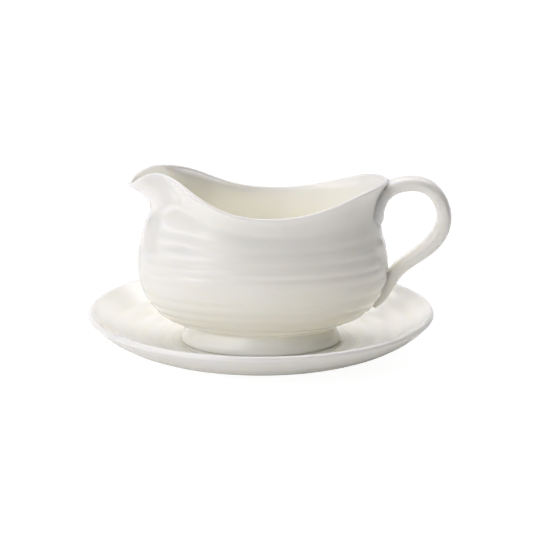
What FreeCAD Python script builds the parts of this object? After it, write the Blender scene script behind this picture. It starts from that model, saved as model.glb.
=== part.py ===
"""Gravy boat on a round stand, glazed porcelain, in millimetres.

The frame has +Z up and +X from the pouring lip towards the handle. The origin is on the surface that the
stand rests on, under the middle of the whole set, so the stand's left edge and the handle's far end are
equally far from it. Everything is symmetric about the XZ plane.

Three pieces are made: the stand, the boat's body, and the handle that is luted to the back of the body.
"""
import FreeCAD, Part
import math
import os

Vector = FreeCAD.Vector

# Whole set
set_half_length = 106.8     # from the origin to the stand's left edge, and to the handle's far end

# Stand: a saucer turned about its own vertical axis
stand_radius = 101.8
stand_x = stand_radius - set_half_length
stand_edge_radius = 1.8     # the rounded edge
stand_edge_height = 22.7    # centre of the rounded edge
stand_edge_tilt = 35.0      # slope of the flange where it meets the edge, degrees
flange_start = 49.4         # radius where the flange leaves the well
flange_start_height = 6.9
flange_power = 2.3          # how late the flange curves up
ripple_count = 5            # broad soft rings on the flange
ripple_height = 0.3
ripple_steps = 6            # points along the flange's curve for each ripple
underside_steps = 8
underside_slope = 0.46      # share of the underside's rise that is straight, and the rest curves up late
underside_power = 3.4
seat_height = 6.2           # the flat that the boat's foot stands on
seat_radius = 47.6
stand_foot_outer = 54.9
stand_foot_inner = 50.7
stand_foot_top = 56.9       # radius where the foot ring meets the underside
stand_foot_height = 1.9
stand_foot_bevel = 0.5      # on both edges of the ring that stands on the table
stand_foot_draft = 1.4      # how far the ring's inner side leans in
stand_recess_height = 2.2   # underside inside the foot ring

# Boat body. Heights are measured up from the seat.
foot_x = -5.2               # centre of the foot
recess_height = 5.6         # underside inside the foot
recess_draft = 1.6
foot_ring_width = 4.0
lip_thickness = 2.4
wall_thickness = 3.5
ridge_pitch = 7.3           # throwing rings around the belly
ridge_height = 0.15
ridges_from = 12.0          # height of the lowest ring of the wall
ridges_to = 79.8            # the ridges have faded out here, just under the rim
rim_saddle = 83.3           # rim height at the middle of the sides
shoulder = 62.0             # above this height the rings bend to follow the rim
pinch_angle = 41.0          # where the spout is narrowest, degrees round from its tip
pinch_spread_tip = 28.0
pinch_spread_side = 15.5
ring_points = 64
ring_nudge = 0.001          # radians either side of a point, for the ring's direction there
lip_angles = (0, 45, 90, 135, 180)  # round the lip's half circle from its outer side, degrees

# The foot, from the contact ring up to the waist: height, half length, half width
foot_stations = [
    (0.0, 45.4, 36.7),
    (0.7, 46.8, 37.5),
    (1.8, 47.1, 37.6),
    (4.6, 46.2, 36.9),
    (8.0, 44.1, 35.1),
    (10.4, 43.2, 34.0),
]

# The outside of the wall: height at the sides, spout end, handle end, half width, pinch of the spout
wall_stations = [
    (10.4, -48.4, 38.0, 34.0, 0.0),
    (12.0, -52.8, 42.0, 35.2, 0.0),
    (15.0, -60.4, 51.2, 38.8, 0.0),
    (20.0, -66.9, 59.3, 42.8, 0.0),
    (27.0, -72.4, 64.8, 46.0, 0.0),
    (36.0, -76.2, 68.6, 47.8, 0.0),
    (47.0, -77.4, 69.7, 48.2, 0.0),
    (56.0, -76.8, 68.6, 46.8, 0.02),
    (62.0, -75.4, 67.1, 45.0, 0.05),
    (68.0, -73.0, 65.1, 42.7, 0.12),
    (74.0, -70.2, 64.5, 41.1, 0.25),
    (77.0, -71.6, 65.2, 40.7, 0.33),
    (80.2, -76.0, 67.2, 40.6, 0.43),
    (83.3, -82.9, 69.7, 40.9, 0.54),
]

# The rim seen from the side: degrees round from the spout's tip, height
rim_stations = [
    (0.0, 95.0),
    (20.0, 98.9),
    (42.0, 103.6),
    (60.0, 96.1),
    (77.0, 86.8),
    (95.0, 83.3),
    (118.0, 86.7),
    (146.0, 95.3),
    (180.0, 97.0),
]

# The inside of the wall below the lip: height, share of the step from the lip's to the wall's thickness
inner_wall_stations = [
    (80.0, 0.4),
    (74.0, 0.8),
    (66.0, 1.0),
    (56.0, 1.0),
    (46.0, 1.0),
]

# The inside of the bowl below the wall: height, spout end, handle end, half width
bowl_stations = [
    (36.0, -72.6, 65.0, 44.2),
    (28.0, -68.6, 61.0, 41.8),
    (21.0, -62.0, 54.4, 37.6),
    (15.5, -53.0, 45.0, 31.5),
    (12.0, -41.0, 32.5, 23.5),
    (10.3, -27.0, 18.0, 13.5),
]

# Handle: middle line from the end of the upper tongue, over the loop, to the end of the lower tongue.
# Each station is x, height above the table, half width, half thickness.
handle_stations = [
    (61.6, 77.0, 5.6, 1.6),
    (62.2, 78.8, 9.4, 3.4),
    (63.0, 84.0, 12.8, 4.2),
    (64.2, 90.0, 11.8, 4.4),
    (67.6, 95.6, 9.4, 4.4),
    (73.0, 99.2, 7.4, 4.3),
    (79.2, 100.9, 6.8, 4.2),
    (86.2, 101.0, 6.6, 4.2),
    (92.9, 98.8, 6.5, 4.2),
    (98.4, 93.4, 6.5, 4.2),
    (101.7, 86.2, 6.5, 4.3),
    (102.3, 79.0, 6.5, 4.4),
    (100.0, 71.6, 6.5, 4.7),
    (95.4, 65.2, 6.5, 4.7),
    (89.4, 60.0, 6.4, 4.5),
    (82.6, 55.0, 6.2, 4.2),
    (76.6, 50.3, 6.0, 4.2),
    (71.6, 44.0, 5.4, 4.4),
    (67.6, 36.0, 4.4, 3.8),
    (64.0, 29.6, 3.0, 2.6),
    (61.8, 26.2, 1.6, 1.2),
]
handle_corner_power = 2.6   # 2 is an oval section, more is squarer
handle_points = 24          # around each section


def smooth(xs, ys, x):
    """Natural cubic spline through the points (xs, ys), read at x."""
    count = len(xs)
    bend = [0.0] * count
    carry = [0.0] * count
    for i in range(1, count - 1):
        left = xs[i] - xs[i - 1]
        right = xs[i + 1] - xs[i]
        turn = (ys[i + 1] - ys[i]) / right - (ys[i] - ys[i - 1]) / left
        pivot = 2.0 * (left + right) - left * carry[i - 1]
        carry[i] = right / pivot
        bend[i] = (6.0 * turn - left * bend[i - 1]) / pivot
    for i in range(count - 2, 0, -1):
        bend[i] -= carry[i] * bend[i + 1]
    k = 0
    while k < count - 2 and x > xs[k + 1]:
        k += 1
    step = xs[k + 1] - xs[k]
    a = (xs[k + 1] - x) / step
    b = 1.0 - a
    bow = ((a ** 3 - a) * bend[k] + (b ** 3 - b) * bend[k + 1]) * step ** 2 / 6.0
    return a * ys[k] + b * ys[k + 1] + bow


def column(stations, index):
    return [station[index] for station in stations]


def spread(rings):
    """Place of each ring along the skin, from 0 to 1, by the mean distance between rings."""
    places = [0.0]
    for ring_a, ring_b in zip(rings, rings[1:]):
        steps = [a.distanceToPoint(b) for a, b in zip(ring_a, ring_b)]
        places.append(places[-1] + sum(steps) / len(steps))
    return [place / places[-1] for place in places]


def curve_through(points, places, closed):
    curve = Part.BSplineCurve()
    curve.interpolate(Points=points, PeriodicFlag=closed, Parameters=places)
    return curve


def skin(rings):
    """Closed solid with one smooth face through all the rings of points, and a flat cap at each end."""
    around = [i / len(rings[0]) for i in range(len(rings[0]) + 1)]
    ring_curves = [curve_through(ring, around, True) for ring in rings]
    rows = [curve.getPoles() for curve in ring_curves]
    along = spread(rings)
    column_curves = [curve_through([row[i] for row in rows], along, False) for i in range(len(rows[0]))]
    surface = Part.BSplineSurface()
    surface.buildFromPolesMultsKnots(
        [curve.getPoles() for curve in column_curves],
        ring_curves[0].getMultiplicities(), column_curves[0].getMultiplicities(),
        ring_curves[0].getKnots(), column_curves[0].getKnots(),
        True, False, ring_curves[0].Degree, column_curves[0].Degree)
    side = surface.toShape()
    caps = [Part.Face(Part.Wire(curve.toShape())) for curve in (ring_curves[0], ring_curves[-1])]
    shell = Part.makeShell([side] + caps)
    shell.sewShape()
    solid = Part.makeSolid(shell)
    if solid.Volume < 0:
        solid.reverse()
    return solid


# ---------------------------------------------------------------- stand

def flange_height(radius):
    """Upper side of the flange, with its soft concentric ripples."""
    tilt = math.radians(stand_edge_tilt)
    end = stand_radius - stand_edge_radius - stand_edge_radius * math.sin(tilt)
    end_height = stand_edge_height + stand_edge_radius * math.cos(tilt)
    run = (radius - flange_start) / (end - flange_start)
    rise = (end_height - flange_start_height) * run ** flange_power
    fade = math.sin(math.pi * run) ** 0.5 if 0.0 < run < 1.0 else 0.0
    ripple = ripple_height * fade * math.sin(2.0 * math.pi * ripple_count * run)
    return flange_start_height + rise + ripple


def underside_height(radius):
    """Outer underside of the flange, smooth and parallel to the upper side."""
    tilt = math.radians(stand_edge_tilt)
    end = stand_radius - stand_edge_radius + stand_edge_radius * math.sin(tilt)
    end_height = stand_edge_height - stand_edge_radius * math.cos(tilt)
    run = (radius - stand_foot_top) / (end - stand_foot_top)
    share = underside_slope * run + (1.0 - underside_slope) * run ** underside_power
    return stand_foot_height + (end_height - stand_foot_height) * share


def make_stand():
    """The profile, from the middle of the well over the edge to the foot, turned about its axis."""
    tilt = math.radians(stand_edge_tilt)
    edge = Vector(stand_radius - stand_edge_radius, 0, stand_edge_height)
    inward = Vector(-math.sin(tilt), 0, math.cos(tilt)) * stand_edge_radius
    upper_end = edge + inward
    lower_end = edge - inward
    outermost = edge + Vector(stand_edge_radius, 0, 0)

    upper_steps = ripple_steps * ripple_count
    upper = []
    for i in range(upper_steps + 1):
        radius = flange_start + (upper_end.x - flange_start) * i / upper_steps
        upper.append(Vector(radius, 0, flange_height(radius)))
    lower = []
    for i in range(underside_steps + 1):
        radius = lower_end.x + (stand_foot_top - lower_end.x) * i / underside_steps
        lower.append(Vector(radius, 0, underside_height(radius)))

    upper_curve = Part.BSplineCurve()
    upper_curve.interpolate(upper)
    lower_curve = Part.BSplineCurve()
    lower_curve.interpolate(lower)
    well = [
        Vector(0, 0, stand_recess_height),
        Vector(0, 0, seat_height),
        Vector(seat_radius, 0, seat_height),
        upper[0],
    ]
    foot = [
        lower[-1],
        Vector(stand_foot_outer + stand_foot_bevel, 0, stand_foot_bevel),
        Vector(stand_foot_outer, 0, 0),
        Vector(stand_foot_inner, 0, 0),
        Vector(stand_foot_inner - stand_foot_bevel, 0, stand_foot_bevel),
        Vector(stand_foot_inner - stand_foot_draft, 0, stand_recess_height),
        Vector(0, 0, stand_recess_height),
    ]
    edges = [Part.LineSegment(a, b).toShape() for a, b in zip(well, well[1:])]
    edges.append(upper_curve.toShape())
    edges.append(Part.Arc(upper_end, outermost, lower_end).toShape())
    edges.append(lower_curve.toShape())
    edges += [Part.LineSegment(a, b).toShape() for a, b in zip(foot, foot[1:])]
    profile = Part.Face(Part.Wire(edges))
    stand = profile.revolve(Vector(0, 0, 0), Vector(0, 0, 1), 360)
    stand.translate(Vector(stand_x, 0, 0))
    return stand


# ---------------------------------------------------------------- boat body

def pinch(angle_from_tip, amount):
    """Share of its oval width that a ring keeps: it narrows on both sides of the spout."""
    away = angle_from_tip - pinch_angle
    spread = pinch_spread_side if away > 0 else pinch_spread_tip
    return 1.0 - amount * math.exp(-(away / spread) ** 2)


def plan_point(turn, spout_end, handle_end, half_width, pinch_amount):
    """Point of a ring seen from above. turn is 0 at the handle end and half a circle at the spout."""
    middle = 0.5 * (spout_end + handle_end)
    half_length = 0.5 * (handle_end - spout_end)
    from_tip = abs(180.0 - math.degrees(turn) % 360.0)
    across = half_width * math.sin(turn) * pinch(from_tip, pinch_amount)
    return middle + half_length * math.cos(turn), across


def rim_height(turn):
    """Height of the rim above the seat, which dips at the sides and rises to both ends."""
    from_tip = abs(180.0 - math.degrees(turn) % 360.0)
    return smooth(column(rim_stations, 0), column(rim_stations, 1), from_tip)


def ring(height, inset, lift=0.0, shape=None, swell=0.0):
    """One ring of the wall.

    height is the ring's height at the sides, and inset moves it in from the outside of the wall.
    lift raises it, and swell pushes it out as a throwing ridge does. shape is its spout end, handle end,
    half width and pinch, and is read from the wall's stations if it isn't given.
    """
    if shape is None:
        heights = column(wall_stations, 0)
        shape = [smooth(heights, column(wall_stations, k), height) for k in range(1, 5)]
    follow = max(0.0, (height - shoulder) / (rim_saddle - shoulder))
    points = []
    for i in range(ring_points):
        turn = 2.0 * math.pi * i / ring_points
        x, y = plan_point(turn, *shape)
        ahead_x, ahead_y = plan_point(turn + ring_nudge, *shape)
        behind_x, behind_y = plan_point(turn - ring_nudge, *shape)
        along_x = ahead_x - behind_x
        along_y = ahead_y - behind_y
        length = math.hypot(along_x, along_y)
        out = swell - inset
        z = seat_height + height + lift + follow * (rim_height(turn) - rim_saddle)
        points.append(Vector(x + out * along_y / length, y - out * along_x / length, z))
    return points


def oval(height, half_length, half_width):
    """One ring of the foot or of the hollow under it."""
    return ring(height, 0.0, shape=(foot_x - half_length, foot_x + half_length, half_width, 0.0))


def outer_rings():
    """Rings from the contact of the foot to just under the rim, two to each throwing ridge."""
    rings = [oval(*station) for station in foot_stations]
    step = 0.5 * ridge_pitch
    count = int((ridges_to - ridges_from) / step) + 1
    for i in range(count):
        height = ridges_from + step * i
        fade = math.sin(math.pi * i / (count - 1))
        swell = ridge_height * fade * (1 if i % 2 else -1)
        rings.append(ring(height, 0.0, swell=swell))
    return rings


def lip_rings():
    """The rounded lip, from its outer side over the crest to its inner side."""
    radius = 0.5 * lip_thickness
    rings = []
    for degrees in lip_angles:
        angle = math.radians(degrees)
        inset = radius - radius * math.cos(angle)
        rings.append(ring(rim_saddle, inset, lift=radius * math.sin(angle) - radius))
    return rings


def inner_rings():
    """Inside of the wall from the lip down, then the bowl, ending with a small flat at the bottom."""
    rings = []
    for height, share in inner_wall_stations:
        inset = lip_thickness + (wall_thickness - lip_thickness) * share
        rings.append(ring(height, inset))
    for height, spout_end, handle_end, half_width in bowl_stations:
        rings.append(ring(height, 0.0, shape=(spout_end, handle_end, half_width, 0.0)))
    return rings


def make_body():
    """Foot, wall, rim and bowl as one skin, less the hollow under the foot."""
    solid = skin(outer_rings() + lip_rings() + inner_rings())
    half_length = foot_stations[0][1] - foot_ring_width
    half_width = foot_stations[0][2] - foot_ring_width
    below = -1.0
    recess = skin([
        oval(below, half_length, half_width),
        oval(recess_height, half_length - recess_draft, half_width - recess_draft),
    ])
    return solid.cut(recess)


# ---------------------------------------------------------------- handle

def handle_section(k):
    """Rounded section number k, square to the handle's middle line."""
    before = handle_stations[max(k - 1, 0)]
    after = handle_stations[min(k + 1, len(handle_stations) - 1)]
    along = Vector(after[0] - before[0], 0, after[1] - before[1])
    along.normalize()
    out = Vector(-along.z, 0, along.x)
    x, z, half_width, half_thickness = handle_stations[k]
    points = []
    for i in range(handle_points):
        turn = 2.0 * math.pi * i / handle_points
        c = math.cos(turn)
        s = math.sin(turn)
        across = math.copysign(abs(c) ** (2.0 / handle_corner_power), c) * half_width
        depth = math.copysign(abs(s) ** (2.0 / handle_corner_power), s) * half_thickness
        points.append(Vector(x, 0, z) + Vector(0, across, 0) + out * depth)
    return points


def make_handle(body):
    """The strap, cut back to the outside of the body so that the two meet face to face."""
    strap = skin([handle_section(k) for k in range(len(handle_stations))])
    pieces = strap.cut(body).Solids
    return max(pieces, key=lambda solid: solid.Volume)


def main():
    """Writes one STEP file for each piece and says what each one measures."""
    os.makedirs("parts", exist_ok=True)
    body = make_body()
    nodes = {
        "stand": make_stand(),
        "boat_body": body,
        "boat_handle": make_handle(body),
    }
    for name, shape in nodes.items():
        solids = shape.Solids
        if len(solids) == 1:
            shape = solids[0]
        shape.exportStep("parts/%s.step" % name)
        box = shape.BoundBox
        print("%-12s valid %s  volume %.1f cm3  x %.1f..%.1f  y %.1f..%.1f  z %.1f..%.1f" % (
            name, shape.isValid(), shape.Volume / 1000.0,
            box.XMin, box.XMax, box.YMin, box.YMax, box.ZMin, box.ZMax))


main()
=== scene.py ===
import math

import bpy
import numpy as np
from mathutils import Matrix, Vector
from mathutils.bvhtree import BVHTree


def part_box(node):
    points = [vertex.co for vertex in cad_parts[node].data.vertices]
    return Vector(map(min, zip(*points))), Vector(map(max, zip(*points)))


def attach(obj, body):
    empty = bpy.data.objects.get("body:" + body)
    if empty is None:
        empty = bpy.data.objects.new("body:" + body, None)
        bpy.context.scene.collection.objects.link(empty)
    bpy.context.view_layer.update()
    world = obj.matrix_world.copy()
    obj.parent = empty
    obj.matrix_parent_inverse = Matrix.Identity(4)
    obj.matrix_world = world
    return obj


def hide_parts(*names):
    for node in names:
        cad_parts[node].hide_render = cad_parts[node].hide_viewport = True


# A gravy boat on a round stand, in glazed white porcelain. Shapes are worked out in millimetres in the
# part's frame and turned into metres when a mesh is made. The tables below are the part's own dimensions.

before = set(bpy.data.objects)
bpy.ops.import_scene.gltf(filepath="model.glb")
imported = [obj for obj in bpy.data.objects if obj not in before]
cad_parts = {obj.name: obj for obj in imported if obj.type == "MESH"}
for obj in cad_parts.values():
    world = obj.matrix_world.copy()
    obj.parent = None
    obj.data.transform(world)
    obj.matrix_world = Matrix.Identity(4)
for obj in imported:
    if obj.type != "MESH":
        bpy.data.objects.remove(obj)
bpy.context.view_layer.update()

MM = 0.001

# ---------------------------------------------------------------- dimensions

# Stand
stand_radius = 101.8
stand_edge_radius = 1.8
stand_edge_height = 22.7
stand_edge_tilt = 35.0
flange_start = 49.4
flange_start_height = 6.9
flange_power = 2.3
ripple_count = 5
ripple_height = 0.3
fine_ring_height = 0.07
fine_ring_pitch = 2.6
fine_ring_start = 0.03      # share of the flange where the fine rings are first at full height
fine_ring_reach = 0.22      # share of the flange over which they die away
seat_height = 6.2
seat_radius = 47.6
stand_foot_outer = 54.9
stand_foot_inner = 50.7
stand_foot_top = 56.9
stand_foot_height = 1.9
stand_recess_height = 2.2
underside_slope = 0.46
underside_power = 3.4
underside_band_count = 6
underside_band_height = 0.06

# Roundings of the stand's outline: distance outside the named radius, height above the seat or the table.
# The margins say how far from a radius the flat or the flange next to a rounding begins.
seat_flat_margin = 0.6
seat_corner = ((-0.2, 0.03), (0.25, 0.2), (0.9, 0.47), (1.4, 0.64))
flange_margin = 0.25
stand_foot_corner = ((0.9, 1.1), (0.5, 0.5), (0.2, 0.15), (-0.3, 0.0))
foot_ring_margin = 0.5
stand_recess_corner = (
    (0.3, 0.0), (-0.2, 0.15), (-0.5, 0.5), (-1.0, 1.3), (-1.6, 1.9), (-2.6, stand_recess_height),
)
recess_flat_margin = 4.0

# Boat body. Heights are measured up from the seat.
foot_x = -5.2
recess_height = 5.6
recess_draft = 1.6
foot_ring_width = 4.0
lip_thickness = 2.4
wall_thickness = 3.5
bowl_floor_dip = 0.15
rim_saddle = 83.3
shoulder = 62.0
pinch_angle = 41.0
pinch_spread_tip = 28.0
pinch_spread_side = 15.5

# Height, half length, half width of the foot
foot_stations = (
    (0.0, 45.4, 36.7),
    (0.7, 46.8, 37.5),
    (1.8, 47.1, 37.6),
    (4.6, 46.2, 36.9),
    (8.0, 44.1, 35.1),
    (10.4, 43.2, 34.0),
)

# Roundings of the foot: height, distance outside the oval they belong to
recess_ceiling_corner = (
    (recess_height - 0.02, -1.2),
    (recess_height - 0.5, -0.1),
    (recess_height - 1.4, 0.35),
)
recess_mouth_corner = ((1.2, -0.4), (0.3, 0.1), (0.0, 0.5))
foot_edge_corner = ((0.0, -0.5), (0.18, 0.35))

# Height at the sides, spout end, handle end, half width, pinch of the spout
wall_stations = (
    (10.4, -48.4, 38.0, 34.0, 0.0),
    (12.0, -52.8, 42.0, 35.2, 0.0),
    (15.0, -60.4, 51.2, 38.8, 0.0),
    (20.0, -66.9, 59.3, 42.8, 0.0),
    (27.0, -72.4, 64.8, 46.0, 0.0),
    (36.0, -76.2, 68.6, 47.8, 0.0),
    (47.0, -77.4, 69.7, 48.2, 0.0),
    (56.0, -76.8, 68.6, 46.8, 0.02),
    (62.0, -75.4, 67.1, 45.0, 0.05),
    (68.0, -73.0, 65.1, 42.7, 0.12),
    (74.0, -70.2, 64.5, 41.1, 0.25),
    (77.0, -71.6, 65.2, 40.7, 0.33),
    (80.2, -76.0, 67.2, 40.6, 0.43),
    (83.3, -82.9, 69.7, 40.9, 0.54),
)

# Degrees round from the spout's tip, height of the rim
rim_stations = (
    (0.0, 95.0), (20.0, 98.9), (42.0, 103.6), (60.0, 96.1), (77.0, 86.8),
    (95.0, 83.3), (118.0, 86.7), (146.0, 95.3), (180.0, 97.0),
)

# Height of a ring inside the wall, share of the way from the lip's thickness to the wall's
inner_wall_stations = ((80.0, 0.4), (74.0, 0.8), (66.0, 1.0), (56.0, 1.0), (46.0, 1.0))

# Height, spout end, handle end, half width of the inside of the bowl
bowl_stations = (
    (36.0, -72.6, 65.0, 44.2),
    (28.0, -68.6, 61.0, 41.8),
    (21.0, -62.0, 54.4, 37.6),
    (15.5, -53.0, 45.0, 31.5),
    (12.0, -41.0, 32.5, 23.5),
    (10.3, -27.0, 18.0, 13.5),
)

# Rings that the potter's fingers left on the body
ridge_crests = (12.0, 17.5, 22.5, 29.0, 36.7, 45.0, 51.3, 59.0, 68.0, 77.5)
ridge_margin = 3.0          # the crests go on this far below the first and above the last
ridge_height = 0.42
inner_ridge_height = 0.07
groove_power = 1.7          # above 1 makes the crests broad and the grooves narrow

# Slow waves in those rings: amount, waves in a turn, drift with height, phase
ridge_wander = ((0.10, 1.0, 0.11, 0.0), (0.06, 2.0, -0.23, 1.0))
ridge_unevenness = ((0.25, 2.0, 0.35, 0.0), (0.20, 3.0, -0.19, 2.0))

# Where the rings fade, as a height and the run of the fade: above the throat, below the lip, up the spout
# end and inside the bowl
throat_fade = (9.5, 4.0)
lip_fade = (rim_saddle - 16.0, 14.0)
tip_fade = (26.0, 14.0)
bowl_fade = (14.0, 8.0)
tip_fade_spread = 34.0      # degrees round from the tip

# The rings stand taller on the flanks of the spout: by this gain at this height, and most of all this many
# degrees round from the tip.
flank_gain = 1.2
flank_height = 52.0
flank_angle = 52.0
flank_spread = 22.0

# Handle's middle line from the upper tongue to the lower: x, height above the table, half width and half
# thickness of the strap
handle_stations = (
    (61.6, 77.0, 5.6, 1.6),
    (62.2, 78.8, 9.4, 3.4),
    (63.0, 84.0, 12.8, 4.2),
    (64.2, 90.0, 11.8, 4.4),
    (67.6, 95.6, 9.4, 4.4),
    (73.0, 99.2, 7.4, 4.3),
    (79.2, 100.9, 6.8, 4.2),
    (86.2, 101.0, 6.6, 4.2),
    (92.9, 98.8, 6.5, 4.2),
    (98.4, 93.4, 6.5, 4.2),
    (101.7, 86.2, 6.5, 4.3),
    (102.3, 79.0, 6.5, 4.4),
    (100.0, 71.6, 6.5, 4.7),
    (95.4, 65.2, 6.5, 4.7),
    (89.4, 60.0, 6.4, 4.5),
    (82.6, 55.0, 6.2, 4.2),
    (76.6, 50.3, 6.0, 4.2),
    (71.6, 44.0, 5.4, 4.4),
    (67.6, 36.0, 4.4, 3.8),
    (64.0, 29.6, 3.0, 2.6),
    (61.8, 26.2, 1.6, 1.2),
)
handle_corner_power = 2.6
luting_radius = 1.5         # glaze and slip rounding where the handle meets the body
luting_gain = 1.5           # how soon the rounding is full as the handle's skin leaves the body's normal
luting_depth = 1.0          # how far the handle's hidden side reaches into the wall

# Mesh density: columns round each piece, rows along each stretch, and spacing of the body's rows
body_columns = 256
stand_columns = 288
handle_columns = 72
handle_rows = 300
well_rows = 30
flange_rows = 118
edge_rows = 13
underside_rows = 70
foot_ring_rows = 4
stand_recess_rows = 16
middle_radius = 4.0         # innermost ring of the stand, round the point in its middle
recess_shares = (0.12, 0.35, 0.6, 0.85)     # rings of the ceiling under the foot, as shares of its size
wall_ring_start = 12.0      # the wall's first ring, before more are put between
wall_ring_step = 3.7
wall_ring_margin = 3.0
lip_rows = 13
lip_rows_behind_handle = 3  # rows of the lip that the handle may meet
recess_spacing = 2.5
outside_spacing = 0.75
inside_spacing = 1.15


# ---------------------------------------------------------------- curves

def smooth(xs, ys, x):
    """Natural cubic spline through the rows ys at xs, read at every x."""
    xs = np.asarray(xs, float)
    ys = np.asarray(ys, float).reshape(len(xs), -1)
    x = np.atleast_1d(np.asarray(x, float))
    count = len(xs)
    steps = np.diff(xs)
    matrix = np.zeros((count, count))
    turn = np.zeros((count, ys.shape[1]))
    matrix[0, 0] = 1.0
    matrix[-1, -1] = 1.0
    for i in range(1, count - 1):
        matrix[i, i - 1] = steps[i - 1]
        matrix[i, i] = 2.0 * (steps[i - 1] + steps[i])
        matrix[i, i + 1] = steps[i]
        turn[i] = 6.0 * ((ys[i + 1] - ys[i]) / steps[i] - (ys[i] - ys[i - 1]) / steps[i - 1])
    bend = np.linalg.solve(matrix, turn)
    k = np.clip(np.searchsorted(xs, x) - 1, 0, count - 2)
    step = steps[k][:, None]
    a = ((xs[k + 1] - x) / steps[k])[:, None]
    b = 1.0 - a
    bow = ((a ** 3 - a) * bend[k] + (b ** 3 - b) * bend[k + 1]) * step ** 2 / 6.0
    return a * ys[k] + b * ys[k + 1] + bow


def refine(rows, spacing):
    """Rows (count, columns, numbers) joined by a smooth skin, with new rows about spacing apart."""
    rows = np.asarray(rows, float)
    gaps = np.linalg.norm(np.diff(rows[:, :, :3], axis=0), axis=2).mean(axis=1)
    along = np.concatenate([[0.0], np.cumsum(gaps)])
    places = [0.0]
    for start, gap in zip(along, gaps):
        parts = max(1, int(round(gap / spacing)))
        places += [start + gap * (i + 1) / parts for i in range(parts)]
    flat = smooth(along, rows.reshape(len(rows), -1), places)
    return flat.reshape(len(places), rows.shape[1], rows.shape[2])


def full_turn(columns):
    return np.linspace(0.0, 2.0 * math.pi, columns, endpoint=False)


def ramp(value, start, run):
    """0 up to start, then a straight rise to 1 over the run."""
    return np.clip((value - start) / run, 0.0, 1.0)


# ---------------------------------------------------------------- meshes

def grid_normals(grid):
    """Unit normals of a grid (rows, columns, 3) that closes on itself along its columns."""
    around = np.roll(grid, -1, axis=1) - np.roll(grid, 1, axis=1)
    up = np.gradient(grid, axis=0)
    normal = np.cross(around, up)
    length = np.linalg.norm(normal, axis=2, keepdims=True)
    return normal / np.maximum(length, 1e-12)


def grid_faces(rows, columns):
    """Quads of a grid that closes on itself along its columns, row by row."""
    faces = []
    for base in range(0, (rows - 1) * columns, columns):
        above = base + columns
        for column in range(columns):
            after = (column + 1) % columns
            faces.append((base + column, base + after, above + after, above + column))
    return faces


def add_object(name, data):
    obj = bpy.data.objects.new(name, data)
    bpy.context.scene.collection.objects.link(obj)
    return obj


def closed_mesh(name, grid, start, end, bare_rows=()):
    """Mesh object from a grid that closes along its columns, with a fan of triangles at each end.

    The quads of the bare rows take the second material, and all the rest the first."""
    rows, columns = grid.shape[:2]
    points = np.vstack([grid.reshape(-1, 3), [start], [end]]) * MM
    faces = grid_faces(rows, columns)
    kinds = [int(row in bare_rows) for row in range(rows - 1) for _ in range(columns)]
    first = rows * columns
    last = first + 1
    top = (rows - 1) * columns
    for column in range(columns):
        after = (column + 1) % columns
        faces.append((first, after, column))
        faces.append((last, top + column, top + after))
        kinds += [0, 0]
    mesh = bpy.data.meshes.new(name)
    mesh.from_pydata([tuple(point) for point in points], [], faces)
    mesh.polygons.foreach_set("material_index", kinds)
    mesh.polygons.foreach_set("use_smooth", [True] * len(faces))
    mesh.validate()
    mesh.update()
    return add_object(name, mesh)


# ---------------------------------------------------------------- stand

edge_tilt = math.radians(stand_edge_tilt)
edge_x = stand_radius - stand_edge_radius
edge_reach = stand_edge_radius * math.sin(edge_tilt)
edge_rise = stand_edge_radius * math.cos(edge_tilt)


def flange_height(radius):
    end_height = stand_edge_height + edge_rise
    run = ramp(radius, flange_start, edge_x - edge_reach - flange_start)
    rise = (end_height - flange_start_height) * run ** flange_power
    fade = np.sqrt(np.sin(math.pi * run).clip(0.0))
    ripple = ripple_height * fade * np.sin(2.0 * math.pi * ripple_count * run)
    fine = fine_ring_height * np.exp(-(run / fine_ring_reach) ** 2) * ramp(run, 0.0, fine_ring_start)
    fine = fine * np.sin(2.0 * math.pi * radius / fine_ring_pitch)
    return flange_start_height + rise + ripple + fine


def underside_height(radius):
    end_height = stand_edge_height - edge_rise
    run = ramp(radius, stand_foot_top, edge_x + edge_reach - stand_foot_top)
    share = underside_slope * run + (1.0 - underside_slope) * run ** underside_power
    fade = underside_band_height * np.sin(math.pi * run)
    band = fade * np.sin(2.0 * math.pi * underside_band_count * run)
    return stand_foot_height + (end_height - stand_foot_height) * share + band


def stand_outline():
    """Radius and height from the middle of the well, over the edge, to the middle underneath.

    The second value says which stretches of it stand on the table."""
    well_radii = np.linspace(middle_radius, seat_radius - seat_flat_margin, well_rows)
    well = [(radius, seat_height) for radius in well_radii]
    well += [(seat_radius + out, seat_height + up) for out, up in seat_corner]
    flange_radii = np.linspace(flange_start + flange_margin, edge_x - edge_reach, flange_rows)
    flange = [(radius, flange_height(radius)) for radius in flange_radii]
    edge = []
    for degrees in np.linspace(90.0 + stand_edge_tilt, stand_edge_tilt - 90.0, edge_rows + 2)[1:-1]:
        angle = math.radians(degrees)
        out = stand_edge_radius * math.cos(angle)
        edge.append((edge_x + out, stand_edge_height + stand_edge_radius * math.sin(angle)))
    under_radii = np.linspace(edge_x + edge_reach, stand_foot_top, underside_rows)
    under = [(radius, underside_height(radius)) for radius in under_radii]
    corner = [(stand_foot_outer + out, up) for out, up in stand_foot_corner]
    ring_outer = stand_foot_outer - foot_ring_margin
    ring_inner = stand_foot_inner + foot_ring_margin
    standing = [(radius, 0.0) for radius in np.linspace(ring_outer, ring_inner, foot_ring_rows)]
    recess = [(stand_foot_inner + out, up) for out, up in stand_recess_corner]
    ceiling_radii = np.linspace(stand_foot_inner - recess_flat_margin, middle_radius, stand_recess_rows)
    ceiling = [(radius, stand_recess_height) for radius in ceiling_radii]
    before = well + flange + edge + under + corner
    bare_from = len(before) - 1
    outline = np.array(before + standing + recess + ceiling)
    return outline, range(bare_from, bare_from + len(standing) + 1)


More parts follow.
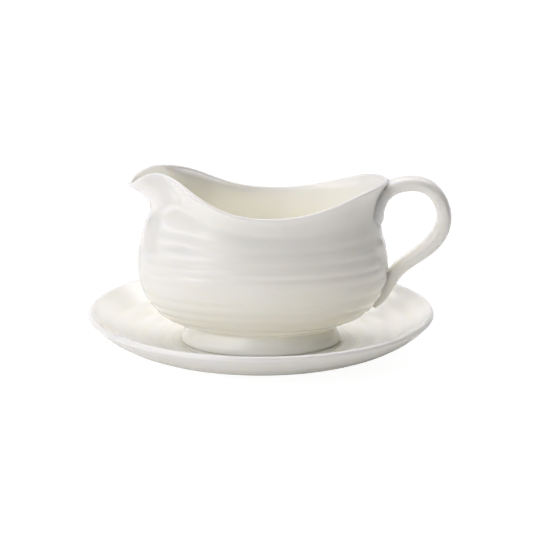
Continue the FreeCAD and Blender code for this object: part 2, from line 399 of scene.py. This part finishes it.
def make_stand():
    """Saucer turned about its axis."""
    low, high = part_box("stand")
    axis_x = 0.5 * (low.x + high.x) / MM
    outline, bare_rows = stand_outline()
    turn = full_turn(stand_columns)[::-1]
    grid = np.zeros((len(outline), stand_columns, 3))
    grid[:, :, 0] = axis_x + outline[:, :1] * np.cos(turn)
    grid[:, :, 1] = outline[:, :1] * np.sin(turn)
    grid[:, :, 2] = outline[:, 1:]
    well_middle = (axis_x, 0.0, seat_height)
    recess_middle = (axis_x, 0.0, stand_recess_height)
    return closed_mesh("stand_saucer", grid, well_middle, recess_middle, bare_rows)


# ---------------------------------------------------------------- boat body

def degrees_from_tip(turn):
    """How far round a place is from the tip of the spout, 0 to 180 degrees on either side."""
    return np.abs(180.0 - np.degrees(turn) % 360.0)


seat_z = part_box("boat_body")[0].z / MM
body_turn = full_turn(body_columns)
rim_angles, rim_heights = zip(*rim_stations)
rim_line = smooth(rim_angles, rim_heights, degrees_from_tip(body_turn))[:, 0]


def plan(turn, spout_end, handle_end, half_width, pinch):
    """Outline of the body seen from above: an oval, pinched in on both sides of the spout."""
    middle = 0.5 * (spout_end + handle_end)
    half_length = 0.5 * (handle_end - spout_end)
    away = degrees_from_tip(turn) - pinch_angle
    spread = np.where(away > 0.0, pinch_spread_side, pinch_spread_tip)
    keep = 1.0 - pinch * np.exp(-(away / spread) ** 2)
    return middle + half_length * np.cos(turn), half_width * np.sin(turn) * keep


def ring(height, inset=0.0, lift=0.0, shape=None):
    """One ring of the wall as rows of x, y, z and the height at the sides."""
    if shape is None:
        table = np.array(wall_stations)
        shape = smooth(table[:, 0], table[:, 1:], height)[0]
    nudge = 0.001
    x, y = plan(body_turn, *shape)
    ahead_x, ahead_y = plan(body_turn + nudge, *shape)
    behind_x, behind_y = plan(body_turn - nudge, *shape)
    along_x = ahead_x - behind_x
    along_y = ahead_y - behind_y
    length = np.hypot(along_x, along_y)
    follow = max(0.0, (height - shoulder) / (rim_saddle - shoulder))
    z = seat_z + height + lift + follow * (rim_line - rim_saddle)
    return np.stack([
        x - inset * along_y / length,
        y + inset * along_x / length,
        z,
        np.full(body_columns, height + lift)], axis=1)


def oval(height, half_length, half_width):
    return ring(height, shape=(foot_x - half_length, foot_x + half_length, half_width, 0.0))


def corner_rings(half_length, half_width, corner):
    return [oval(height, half_length + out, half_width + out) for height, out in corner]


def recess_rings():
    """Hollow under the foot, from its middle out to the inner edge of the foot ring."""
    half_length = foot_stations[0][1] - foot_ring_width
    half_width = foot_stations[0][2] - foot_ring_width
    top_length = half_length - recess_draft
    top_width = half_width - recess_draft
    ceiling = [oval(recess_height, top_length * share, top_width * share) for share in recess_shares]
    ceiling += corner_rings(top_length, top_width, recess_ceiling_corner)
    return ceiling + corner_rings(half_length, half_width, recess_mouth_corner)


def outer_rings():
    """Outside of the foot and the wall, from the outer edge of the foot ring up to the lip."""
    rings = corner_rings(*foot_stations[0][1:], foot_edge_corner)
    rings += [oval(*station) for station in foot_stations[1:]]
    heights = np.arange(wall_ring_start, rim_saddle - wall_ring_margin, wall_ring_step)
    return rings + [ring(height) for height in heights]


def lip_rings():
    """Half a circle over the lip, from the outside to the inside."""
    radius = 0.5 * lip_thickness
    rings = []
    for angle in np.linspace(0.0, math.pi, lip_rows):
        rings.append(ring(rim_saddle, radius - radius * math.cos(angle), radius * math.sin(angle) - radius))
    return rings


def bowl_rings():
    """Inside of the wall and the bowl, from the lip down to the floor."""
    rings = []
    for height, share in inner_wall_stations:
        rings.append(ring(height, lip_thickness + (wall_thickness - lip_thickness) * share))
    for height, spout_end, handle_end, half_width in bowl_stations:
        rings.append(ring(height, shape=(spout_end, handle_end, half_width, 0.0)))
    return rings


def slow_waves(waves, height, turn):
    total = np.zeros(height.shape)
    for amount, count, drift, phase in waves:
        total += amount * np.sin(count * turn + drift * height + phase)
    return total


def throwing_ridges(height, turn):
    """Soft rings left by the potter's fingers: broad crests and narrower grooves, none quite alike."""
    reach = np.clip(height, ridge_crests[0] - ridge_margin, ridge_crests[-1] + ridge_margin)
    phase = smooth(ridge_crests, np.arange(len(ridge_crests)), reach.ravel()).reshape(height.shape)
    phase = phase + slow_waves(ridge_wander, height, turn)
    groove = (0.5 - 0.5 * np.cos(2.0 * math.pi * phase)) ** groove_power
    uneven = 1.0 + slow_waves(ridge_unevenness, height, turn)
    on_flank = np.exp(-((degrees_from_tip(turn) - flank_angle) / flank_spread) ** 2)
    uneven = uneven * (1.0 + flank_gain * (height / flank_height) ** 2 * on_flank)
    return (0.5 - groove) * uneven


def ridge_amount(height, turn):
    """1 where the rings are at full height, and 0 at the throat, at the lip and at the spout's tip."""
    at_tip = np.exp(-(degrees_from_tip(turn) / tip_fade_spread) ** 2) * ramp(height, *tip_fade)
    return ramp(height, *throat_fade) * (1.0 - ramp(height, *lip_fade)) * (1.0 - at_tip)


def make_body():
    """The body as one closed skin. The second value is its outside, as a grid in millimetres."""
    recess = recess_rings()
    outer = outer_rings()
    lip = lip_rings()
    below = refine(recess[:-1], recess_spacing)
    contact = np.array([recess[-1], outer[0]])
    outside = refine(outer + [lip[0]], outside_spacing)[1:-1]
    inside = refine([lip[-1]] + bowl_rings(), inside_spacing)[1:]
    rows = np.vstack([below, contact, outside, np.array(lip), inside])
    outside_from = len(below) + len(contact)
    outside_to = outside_from + len(outside)
    inside_from = len(rows) - len(inside)

    grid = rows[:, :, :3].copy()
    height = rows[:, :, 3]
    turn = np.broadcast_to(body_turn, height.shape)
    ridges = throwing_ridges(height, turn) * ridge_amount(height, turn)
    relief = grid_normals(grid) * ridges[:, :, None]
    in_bowl = ramp(height, *bowl_fade)[:, :, None]
    grid[outside_from:outside_to] += (relief * ridge_height)[outside_from:outside_to]
    grid[inside_from:] -= (relief * in_bowl * inner_ridge_height)[inside_from:]

    floor_height, floor_spout_end, floor_handle_end, _ = bowl_stations[-1]
    recess_middle = (foot_x, 0.0, seat_z + recess_height)
    bowl_middle = (0.5 * (floor_spout_end + floor_handle_end), 0.0, seat_z + floor_height - bowl_floor_dip)
    bare_rows = range(len(below) - 1, outside_from)
    body = closed_mesh("boat_bowl", grid, recess_middle, bowl_middle, bare_rows)
    return body, grid[outside_from - 1:outside_to + lip_rows_behind_handle]


# ---------------------------------------------------------------- handle

def handle_grid():
    """Strap of rounded section along the handle's middle line, and that line's points."""
    table = np.array(handle_stations)
    gaps = np.linalg.norm(np.diff(table[:, :2], axis=0), axis=1)
    along = np.concatenate([[0.0], np.cumsum(gaps)])
    line = smooth(along, table, np.linspace(0.0, along[-1], handle_rows))
    direction = np.gradient(line[:, :2], axis=0)
    direction /= np.linalg.norm(direction, axis=1, keepdims=True)
    cosine = np.cos(full_turn(handle_columns))
    sine = np.sin(full_turn(handle_columns))
    power = 2.0 / handle_corner_power
    across = np.sign(cosine) * np.abs(cosine) ** power
    depth = np.sign(sine) * np.abs(sine) ** power
    thick = line[:, 3:4] * depth
    grid = np.zeros((handle_rows, handle_columns, 3))
    grid[:, :, 0] = line[:, :1] - direction[:, 1:] * thick
    grid[:, :, 1] = line[:, 2:3] * across
    grid[:, :, 2] = line[:, 1:2] + direction[:, :1] * thick
    middle = np.stack([line[:, 0], np.zeros(handle_rows), line[:, 1]], axis=1)
    return grid, middle


def lute(point, normal, tree):
    """Place of a point of the strap once it is luted on: flared near the body's skin, cut off below it."""
    near, out, _, _ = tree.find_nearest(point)
    away = (point - near).dot(out)
    if away > luting_radius:
        return point
    slide = normal - out * normal.dot(out)
    level = min(1.0, max(0.0, away / luting_radius))
    share = min(1.0, slide.length * luting_gain)
    flare = luting_radius * (1.0 - math.sqrt(1.0 - (1.0 - level) ** 2)) * share
    point = point + slide.normalized() * flare
    if away < -luting_depth:
        near, out, _, _ = tree.find_nearest(point)
        point = near - out * luting_depth
    return point


def make_handle(surface):
    """Handle luted on to the surface of the body, which is a grid in millimetres."""
    corners = [tuple(point) for point in surface.reshape(-1, 3)]
    tree = BVHTree.FromPolygons(corners, grid_faces(*surface.shape[:2]))
    grid, middle = handle_grid()
    normals = grid_normals(grid)
    # The strap flares outwards, so its normals have to point away from its middle line.
    if ((grid - middle[:, None]) * normals).sum() < 0.0:
        normals = -normals
    for place in np.ndindex(handle_rows, handle_columns):
        grid[place] = lute(Vector(grid[place]), Vector(normals[place]), tree)
    return closed_mesh("boat_strap", grid, grid[0].mean(axis=0), grid[-1].mean(axis=0))


# ---------------------------------------------------------------- materials

# Noise is given as features to the metre and detail, and a bump as strength and distance in metres.
noise_low = 0.3
noise_high = 0.7
glaze_colours = ((0.95, 0.939, 0.864), (0.938, 0.925, 0.84))
glaze_clouds = (18.0, 3.0)
glaze_roughness = (0.15, 0.19)
glaze_gloss_noise = (45.0, 4.0)
glaze_ior = 1.5
glaze_subsurface = 0.7
glaze_subsurface_radius = (1.0, 0.92, 0.78)
glaze_subsurface_scale = 0.006
glaze_peel = (320.0, 2.0)
glaze_bump = (0.05, 0.0004)
bare_colours = ((0.80, 0.77, 0.71), (0.70, 0.665, 0.60))
bare_grain = (900.0, 4.0)
bare_roughness = (0.62, 0.82)
bare_roughness_noise = (500.0, 3.0)
bare_bump = (0.25, 0.0003)
stage_roughness = 0.9


def new_material(name):
    material = bpy.data.materials.new(name)
    material.use_nodes = True
    return material, material.node_tree, material.node_tree.nodes["Principled BSDF"]


def add_noise(tree, scale, detail):
    """Noise in object space."""
    place = tree.nodes.new("ShaderNodeTexCoord")
    noise = tree.nodes.new("ShaderNodeTexNoise")
    noise.inputs["Scale"].default_value = scale
    noise.inputs["Detail"].default_value = detail
    tree.links.new(place.outputs["Object"], noise.inputs["Vector"])
    return noise.outputs["Fac"]


def add_range(tree, noise, low, high):
    """The usual span of a noise, stretched to go from low to high."""
    scale = tree.nodes.new("ShaderNodeMapRange")
    scale.inputs["From Min"].default_value = noise_low
    scale.inputs["From Max"].default_value = noise_high
    scale.inputs["To Min"].default_value = low
    scale.inputs["To Max"].default_value = high
    tree.links.new(noise, scale.inputs["Value"])
    return scale.outputs["Result"]


def add_mix(tree, factor, first, second):
    mix = tree.nodes.new("ShaderNodeMix")
    mix.data_type = "RGBA"
    mix.inputs["A"].default_value = (*first, 1.0)
    mix.inputs["B"].default_value = (*second, 1.0)
    tree.links.new(factor, mix.inputs["Factor"])
    return mix.outputs["Result"]


def add_bump(tree, height, strength, distance):
    bump = tree.nodes.new("ShaderNodeBump")
    bump.inputs["Strength"].default_value = strength
    bump.inputs["Distance"].default_value = distance
    tree.links.new(height, bump.inputs["Height"])
    return bump.outputs["Normal"]


def glaze_material(name, shift):
    """Clear glossy glaze over white porcelain: faint warm clouds, a soft orange peel and even gloss.

    The shift in scale keeps the noise of one piece from repeating on the next."""
    material, tree, shader = new_material(name)

    def noise(scale, detail):
        return add_noise(tree, scale + shift, detail)

    colour = add_mix(tree, add_range(tree, noise(*glaze_clouds), 0.0, 1.0), *glaze_colours)
    gloss = add_range(tree, noise(*glaze_gloss_noise), *glaze_roughness)
    normal = add_bump(tree, noise(*glaze_peel), *glaze_bump)
    tree.links.new(colour, shader.inputs["Base Color"])
    tree.links.new(gloss, shader.inputs["Roughness"])
    tree.links.new(normal, shader.inputs["Normal"])
    shader.inputs["IOR"].default_value = glaze_ior
    shader.inputs["Subsurface Weight"].default_value = glaze_subsurface
    shader.inputs["Subsurface Radius"].default_value = glaze_subsurface_radius
    shader.inputs["Subsurface Scale"].default_value = glaze_subsurface_scale
    return material


def bare_material(name):
    """Unglazed fired porcelain on the rings that stand on something: matt and finely grained."""
    material, tree, shader = new_material(name)
    grain = add_range(tree, add_noise(tree, *bare_grain), 0.0, 1.0)
    rough = add_range(tree, add_noise(tree, *bare_roughness_noise), *bare_roughness)
    tree.links.new(add_mix(tree, grain, *bare_colours), shader.inputs["Base Color"])
    tree.links.new(rough, shader.inputs["Roughness"])
    tree.links.new(add_bump(tree, grain, *bare_bump), shader.inputs["Normal"])
    return material


def stage_material(name, grey, glow):
    """Matt grey without gloss, which may glow white."""
    material, _, shader = new_material(name)
    shader.inputs["Base Color"].default_value = (grey, grey, grey, 1.0)
    shader.inputs["Roughness"].default_value = stage_roughness
    shader.inputs["Specular IOR Level"].default_value = 0.0
    shader.inputs["Emission Color"].default_value = (1.0, 1.0, 1.0, 1.0)
    shader.inputs["Emission Strength"].default_value = glow
    return material


# ---------------------------------------------------------------- build

stand = make_stand()
body, body_surface = make_body()
handle = make_handle(body_surface)

bare = bare_material("bare_porcelain")
for piece, shift in ((stand, 0.0), (body, 3.0), (handle, 7.0)):
    piece.data.materials.append(glaze_material(piece.name + "_glaze", shift))
    piece.data.materials.append(bare)

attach(stand, "stand")
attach(body, "boat")
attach(handle, "boat")
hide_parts("stand")
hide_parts("boat_body")
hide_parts("boat_handle")


# ---------------------------------------------------------------- stage, lights and camera

# Lengths are in metres from here on, except that the camera's sensor and lens are in millimetres.
table_radius = 4.0
table_z = -0.0004
table_grey = 0.92
floor_radius = 8.0
floor_z = -0.0002
floor_grey = 0.16
floor_glow = 0.95
disc_corners = 96

# Name, azimuth round the set from the camera's side towards the handle, elevation, width, height, power
studio_lights = (
    ("key", 303.0, 34.0, 2.0, 1.2, 6.2),
    ("key_strip", 297.0, 15.0, 1.9, 0.6, 10.4),
    ("key_near", 324.0, 26.0, 1.5, 1.4, 10.7),
    ("key_high", 312.0, 50.0, 1.4, 1.0, 2.7),
    ("front", 334.0, 25.0, 1.6, 1.2, 1.2),
    ("back_top", 172.0, 62.0, 2.8, 1.7, 45.0),
    ("back_wall", 180.0, 12.0, 3.6, 1.2, 9.2),
    ("back_left", 220.0, 34.0, 2.8, 2.2, 4.6),
    ("back_right", 140.0, 34.0, 2.8, 2.2, 3.2),
)
light_colour = (1.0, 0.978, 1.025)
light_distance = 2.2
light_aim = Vector((0.0, 0.0, 0.05))

camera_sensor = 36.0
camera_lens = 283.3
camera_elevation = 15.0
camera_distance = 2.5
camera_aim = Vector((0.0003, 0.0, 0.0487))
camera_clip_start = 0.05
camera_clip_end = 50.0

# White china passes light on many times inside the bowl.
max_bounces = 12
diffuse_bounces = 10


def disc(name, radius, z):
    points = [(radius * math.cos(turn), radius * math.sin(turn), z) for turn in full_turn(disc_corners)]
    mesh = bpy.data.meshes.new(name)
    mesh.from_pydata(points, [], [tuple(range(disc_corners))])
    return add_object(name, mesh)


def direction_to(azimuth, elevation):
    """Unit vector towards a place seen at these degrees round the set and above its table."""
    turn = math.radians(azimuth)
    rise = math.radians(elevation)
    return Vector((math.sin(turn) * math.cos(rise), -math.cos(turn) * math.cos(rise), math.sin(rise)))


def place_and_aim(obj, aim, towards, distance):
    obj.location = aim + towards * distance
    obj.rotation_mode = "QUATERNION"
    obj.rotation_quaternion = (-towards).to_track_quat("-Z", "Y")


def add_softbox(name, azimuth, elevation, width, height, power):
    light = bpy.data.lights.new(name, "AREA")
    light.shape = "RECTANGLE"
    light.size = width
    light.size_y = height
    light.energy = power
    light.color = light_colour
    lamp = add_object(name, light)
    lamp.visible_camera = False
    place_and_aim(lamp, light_aim, direction_to(azimuth, elevation), light_distance)


# The table throws light up at the set. A pale sheet just above it is what the camera sees of it.
table_top = disc("table", table_radius, table_z)
table_top.data.materials.append(stage_material("table_white", table_grey, 0.0))
table_top.visible_camera = False
floor = disc("floor", floor_radius, floor_z)
floor.data.materials.append(stage_material("floor_white", floor_grey, floor_glow))
floor.visible_diffuse = False
floor.visible_glossy = False
floor.visible_transmission = False
floor.visible_shadow = False

for softbox in studio_lights:
    add_softbox(*softbox)

# The room is white to the camera and lights nothing.
world = bpy.data.worlds.new("studio")
bpy.context.scene.world = world
world.use_nodes = True
sky = world.node_tree.nodes["Background"]
sky.inputs["Color"].default_value = (1.0, 1.0, 1.0, 1.0)
sky.inputs["Strength"].default_value = 1.0
world.cycles_visibility.diffuse = False
world.cycles_visibility.glossy = False
world.cycles_visibility.transmission = False
world.cycles_visibility.scatter = False

bpy.context.scene.cycles.max_bounces = max_bounces
bpy.context.scene.cycles.diffuse_bounces = diffuse_bounces

camera_data = bpy.data.cameras.new("camera")
camera_data.sensor_width = camera_sensor
camera_data.lens = camera_lens
camera_data.clip_start = camera_clip_start
camera_data.clip_end = camera_clip_end
camera = add_object("camera", camera_data)
place_and_aim(camera, camera_aim, direction_to(0.0, camera_elevation), camera_distance)
bpy.context.scene.camera = camera

bpy.context.scene.view_settings.view_transform = "Standard"
bpy.context.scene.view_settings.look = "None"
bpy.context.scene.view_settings.exposure = 0.0
bpy.context.scene.view_settings.gamma = 1.0
